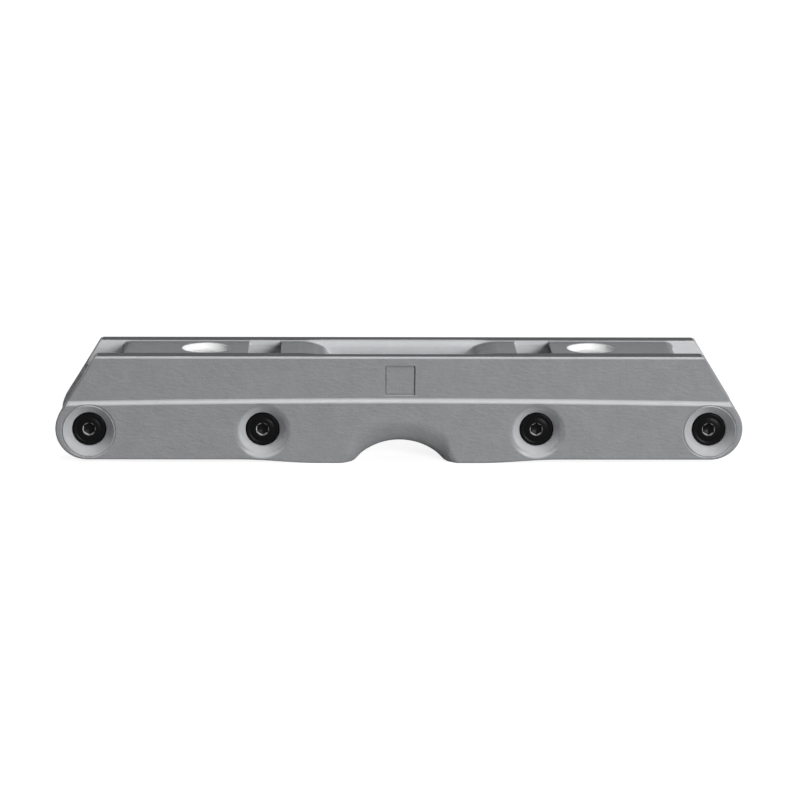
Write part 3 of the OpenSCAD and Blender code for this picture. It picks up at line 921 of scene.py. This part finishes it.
# Over the base: painted shade on the rim's top, a painted highlight on upward edges, and painted
# light in the hollows and the seats
for mask, low, high in ((coarse, "#5c5d5f", "#636466"), (edge_highlight, "#b3b4b6", "#b9babc"),
        (hollow_light, "#c6c7c9", "#cdced0"), (seat, "#ebebeb", "#f1f1f1")):
    links = {0: mask, 6: shade, 7: two_tints(tree, cloud, low, high)}
    shade = add(tree, "ShaderNodeMix", links, data_type="RGBA").outputs[2]
tree.links.new(shade, shader.inputs["Base Color"])

# %% [markdown]
# Rough as moulded, glossier where it is rubbed. The relief is three layers of bumps: the flow
# marks, streaks of 1.3 mm that are about twice as long along the frame, and a grain of 0.4 mm.
# The real grain is finer, and is drawn as coarse as the picture needs to show it. Rubbed edges
# and hollows have less of it.

# %% Nylon: gloss and grain
streak_size, grain_size = 1.25, 5 / 12
matt = add(tree, "ShaderNodeMapRange", {"Value": coarse}, To_Min=0.82, To_Max=1).outputs["Result"]
gloss = add(tree, "ShaderNodeMapRange", {"Value": edge_highlight, "To Min": matt}, To_Max=0.17)
uneven = add(tree, "ShaderNodeMapRange", {"Value": cloud}, To_Min=0.94, To_Max=1.06)
rough = add(tree, "ShaderNodeMath", {0: gloss.outputs["Result"], 1: uneven.outputs["Result"]},
    operation="MULTIPLY")
tree.links.new(rough.outputs[0], shader.inputs["Roughness"])

along = add(tree, "ShaderNodeMapping", {"Vector": place}, Scale=(0.45, 1, 1)).outputs["Vector"]
streaks = add(tree, "ShaderNodeTexNoise", {"Vector": along}, Scale=1000 / streak_size, Detail=3)
grain = add(tree, "ShaderNodeTexNoise", {"Vector": place}, Scale=1000 / grain_size, Detail=2)
moulded = add(tree, "ShaderNodeMapRange", {"Value": hollow_light}, To_Min=1, To_Max=0.35)
depth = add(tree, "ShaderNodeMapRange", {"Value": edge_highlight, "To Min": moulded.outputs["Result"]},
    To_Max=0.08).outputs["Result"]
bumpy = None
for pattern, deep in ((flow, 0.0001), (streaks, 0.00033), (grain, 0.00015)):
    links = {"Height": pattern.outputs["Fac"], "Strength": depth}
    if bumpy:
        links["Normal"] = bumpy
    bumpy = add(tree, "ShaderNodeBump", links, Distance=deep).outputs["Normal"]
tree.links.new(bumpy, shader.inputs["Normal"])
shader.inputs["IOR"].default_value = 1.53
shader.inputs["Specular IOR Level"].default_value = 0.2
give([chassis], nylon)
print("nylon has", len(tree.nodes), "nodes")

# %% [markdown]
# The axles are steel with a black oxide: nearly black, with a soft oily sheen, and painted pale
# inside the hex sockets as wear and a painted glint. The nuts are zinc plated, and the bushes plain
# turned steel.


# %% Metals
def metal(name, base, dark, rough, grain, metallic=1.0):
    """A metal of two close tints, uneven in gloss by the same cloud. Grain is its size in mm."""
    material, tree, shader, place = new_material(name)
    scale = 1000 / grain
    cloud = add(tree, "ShaderNodeTexNoise", {"Vector": place}, Scale=scale, Detail=3)
    tint = two_tints(tree, cloud.outputs["Fac"], dark, base, 0.35, 0.65)
    tree.links.new(tint, shader.inputs["Base Color"])
    gloss = add(tree, "ShaderNodeMapRange", {"Value": cloud.outputs["Fac"]},
        To_Min=rough - 0.05, To_Max=rough + 0.08)
    tree.links.new(gloss.outputs["Result"], shader.inputs["Roughness"])
    bump = add(tree, "ShaderNodeBump", {"Height": cloud.outputs["Fac"]},
        Strength=0.15, Distance=0.00005)
    tree.links.new(bump.outputs["Normal"], shader.inputs["Normal"])
    shader.inputs["Metallic"].default_value = metallic
    return material


black_oxide = metal("black_oxide_steel", "#0b0b0c", "#070708", 0.3, 0.5, 0)
tree = black_oxide.node_tree
shader = tree.nodes["Principled BSDF"]
shader.inputs["Specular IOR Level"].default_value = 0.06
# Socket walls painted pale grey: a painted glint, and wear from the key
socket = add(tree, "ShaderNodeAttribute", attribute_name="worn_and_glint").outputs["Fac"]
black = shader.inputs["Base Color"].links[0].from_socket
glint_and_wear = add(tree, "ShaderNodeMix", {0: socket, 6: black}, data_type="RGBA")
glint_and_wear.inputs[7].default_value = colour("#c4c5c6")
tree.links.new(glint_and_wear.outputs[2], shader.inputs["Base Color"])
give(bolts + sleeves, black_oxide)
give(nuts, metal("zinc_plated_steel", "#b4b7ba", "#a3a6a9", 0.35, 0.8))
give(bushes, metal("turned_steel", "#a9abae", "#98999c", 0.3, 0.6))
print("materials", [material.name for material in bpy.data.materials])

# %% [markdown]
# The photo was taken from a little above with a long lens: the two ends look almost the same
# size. Distances in it put the camera 1.36 m away, 12.8 degrees up and 1.4 degrees to the left.

# %% Camera
aim, distance = np.array([0, -22, 28.1]), 1360
azimuth, elevation, roll = -1.4, 12.8, 0.37
lens, sensor = 142.8, 36


def look_from(azimuth_deg, elevation_deg, far):
    """A point that far from the aim, in metres, and the direction back to it."""
    a, e = np.radians(azimuth_deg), np.radians(elevation_deg)
    back = np.array([np.sin(a) * np.cos(e), -np.cos(a) * np.cos(e), np.sin(e)])
    return (aim + far * back) * MM, back


def turn_to(obj, back, roll_deg=0):
    """Faces along the view, then turns about it."""
    obj.rotation_mode = "QUATERNION"
    level = Vector(-back).to_track_quat("-Z", "Y")
    obj.rotation_quaternion = Quaternion(Vector(back), np.radians(roll_deg)) @ level


camera = bpy.data.objects.new("camera", bpy.data.cameras.new("camera"))
bpy.context.scene.collection.objects.link(camera)
camera.location, back = look_from(azimuth, elevation, distance)
turn_to(camera, back, roll)
camera.data.lens, camera.data.sensor_width = lens, sensor
camera.data.clip_end = 50
bpy.context.scene.camera = camera
print("camera at", [round(v, 3) for v in camera.location])

# %% [markdown]
# The light in the photo is a big soft box in front on the right, and a long one overhead that
# draws the bright line along the ledge. Two low boxes behind keep the far side readable when it
# is looked at, and hardly reach the side that the photo shows.


# %% Lights
def soft_light(name, azimuth_deg, elevation_deg, far, width, height, watts):
    """A soft box, aimed at the middle of the frame."""
    lamp = bpy.data.lights.new(name, "AREA")
    lamp.shape, lamp.size, lamp.size_y, lamp.energy = "RECTANGLE", width, height, watts
    obj = bpy.data.objects.new(name, lamp)
    bpy.context.scene.collection.objects.link(obj)
    obj.location, back = look_from(azimuth_deg, elevation_deg, far)
    turn_to(obj, back)


soft_light("key_box", 30, 16, 2600, 1.0, 1.0, 61)
soft_light("strip_box", 10, 77, 1300, 0.9, 0.12, 5.2)
soft_light("rear_left_box", 214, 4, 2600, 1.2, 0.3, 23)
soft_light("rear_right_box", 140, 4, 2600, 1.2, 0.3, 27)


# %% [markdown]
# The background is pure white. So the floor and the world are white to the camera and to
# reflections only, while the light on the object stays plain, and the floor keeps the object's
# shadow.


# %% Floor and background
def background_rays(tree):
    """1 for the rays that show the background: the camera's, and reflected or refracted ones."""
    path = add(tree, "ShaderNodeLightPath").outputs
    seen = path["Is Camera Ray"]
    for kind in ("Is Glossy Ray", "Is Transmission Ray"):
        seen = add(tree, "ShaderNodeMath", {0: seen, 1: path[kind]}, operation="MAXIMUM").outputs[0]
    return seen


def backdrop_material(name, lit, glow):
    """White to the camera and in reflections, while other light finds a plain pale surface."""
    material, tree, shader, place = new_material(name)
    shader.inputs["Base Color"].default_value = colour(lit)
    shader.inputs["Roughness"].default_value = 0.9
    level = add(tree, "ShaderNodeMath", {0: background_rays(tree)}, operation="MULTIPLY")
    level.inputs[1].default_value = glow
    shader.inputs["Emission Color"].default_value = (1, 1, 1, 1)
    tree.links.new(level.outputs[0], shader.inputs["Emission Strength"])
    return material


floor_half_w = 4.0
floor_mesh = bpy.data.meshes.new("floor")
corners = [(u * floor_half_w, v * floor_half_w, 0) for u, v in ((-1, -1), (1, -1), (1, 1), (-1, 1))]
floor_mesh.from_pydata(corners, [], [(0, 1, 2, 3)])
floor = bpy.data.objects.new("floor", floor_mesh)
bpy.context.scene.collection.objects.link(floor)
floor.data.materials.append(backdrop_material("pale_floor", "#a0a0a0", 0.85))

world = bpy.data.worlds.new("studio")
bpy.context.scene.world = world
world.use_nodes = True
tree = world.node_tree
tree.nodes.clear()
seen = background_rays(tree)
soft = add(tree, "ShaderNodeBackground", Color=(1, 1, 1, 1), Strength=0.01)
white = add(tree, "ShaderNodeBackground", Color=(1, 1, 1, 1), Strength=1.0)
mix = add(tree, "ShaderNodeMixShader", {0: seen, 1: soft.outputs[0], 2: white.outputs[0]})
add(tree, "ShaderNodeOutputWorld", {0: mix.outputs[0]})
bpy.context.scene.view_settings.view_transform = "Standard"
